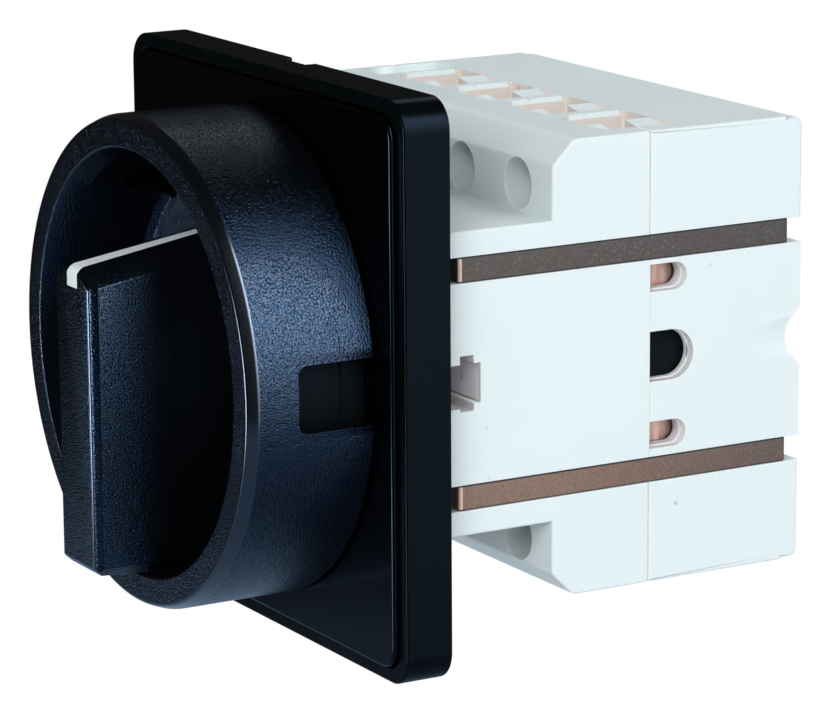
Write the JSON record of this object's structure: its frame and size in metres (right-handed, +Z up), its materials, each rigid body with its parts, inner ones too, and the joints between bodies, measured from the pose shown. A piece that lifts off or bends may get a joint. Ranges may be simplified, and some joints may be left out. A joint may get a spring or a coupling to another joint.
{
  "type": "rotary main switch",
  "caption": "Panel-mounted rotary main switch: padlockable round knob on a square plate, with a split contact block behind held by metal clips.",
  "frame": {"origin": "centre of the plate's back face, on the knob's axis", "axes": "+X right seen from the front, +Z up, +Y into the panel"},
  "size_m": [0.088, 0.1059, 0.088],
  "materials": {
    "plate_black": "satin gloss",
    "panel_black": "smooth gloss",
    "gasket": "matt",
    "collar_grey": "smooth satin",
    "knob_black": "fine grained texture",
    "pointer_white": "smooth",
    "housing_white": "smooth satin",
    "clip_bronze": "brown, finely scratched",
    "contact_copper": "bare metal",
    "terminal_steel": "plated",
    "grey_steel": "plated",
    "spring_steel": "bright",
    "carrier_black": "smooth",
    "natural_plastic": "smooth"
  },
  "bodies": {
    "switch_body": {"front_plate": "plate_black", "legend_panel": "panel_black", "plate_seal": "gasket", "locking_collar": "collar_grey", "plate_screws": "terminal_steel", "front_housing": "housing_white", "rear_housing": "housing_white", "mounting_frame": "grey_steel", "detent_spring_upper": "spring_steel", "detent_spring_lower": "spring_steel", "return_spring_right": "spring_steel", "return_spring_left": "spring_steel", "terminal_screws_top": "terminal_steel", "terminal_screws_bottom": "terminal_steel", "retaining_clip_1": "clip_bronze", "retaining_clip_2": "clip_bronze", "retaining_clip_3": "clip_bronze", "retaining_clip_4": "clip_bronze", "contact_bar_top_1": "contact_copper", "contact_bar_top_2": "contact_copper", "contact_bar_top_3": "contact_copper", "contact_bar_top_4": "contact_copper", "contact_bar_bottom_1": "contact_copper", "contact_bar_bottom_2": "contact_copper", "contact_bar_bottom_3": "contact_copper", "contact_bar_bottom_4": "contact_copper", "box_clamp_top_1": "terminal_steel", "box_clamp_top_2": "terminal_steel", "box_clamp_top_3": "terminal_steel", "box_clamp_top_4": "terminal_steel", "box_clamp_bottom_1": "terminal_steel", "box_clamp_bottom_2": "terminal_steel", "box_clamp_bottom_3": "terminal_steel", "box_clamp_bottom_4": "terminal_steel"},
    "knob_and_cam": {"knob": "knob_black", "pointer_insert": "pointer_white", "grip_set_screw": "grey_steel", "shaft_bush": "natural_plastic", "drive_shaft": "grey_steel", "detent_cam": "natural_plastic", "spacer_tube": "natural_plastic", "lifting_cam": "natural_plastic", "shaft_clip": "grey_steel"},
    "carrier": {"contact_carrier": "carrier_black", "contact_bridge_1": "contact_copper", "contact_bridge_2": "contact_copper", "contact_bridge_3": "contact_copper", "contact_bridge_4": "contact_copper", "contact_spring_1": "spring_steel", "contact_spring_2": "spring_steel", "contact_spring_3": "spring_steel", "contact_spring_4": "spring_steel"}
  },
  "joints": [
    {"name": "knob_turn", "type": "hinge", "parent": "switch_body", "child": "knob_and_cam", "pos_m": [0, 0, 0], "axis": [0, -1, 0], "range_deg": [0, 90], "deforming": ["detent_spring_upper", "detent_spring_lower"]},
    {"name": "carrier_slide", "type": "slide", "parent": "switch_body", "child": "carrier", "axis": [0, 1, 0], "range_m": [0, 0.005], "deforming": ["return_spring_right", "return_spring_left"]}
  ],
  "couplings": [
    {"joint": "carrier_slide", "follows": "knob_turn", "m_per_rad": 0.003183}
  ]
}
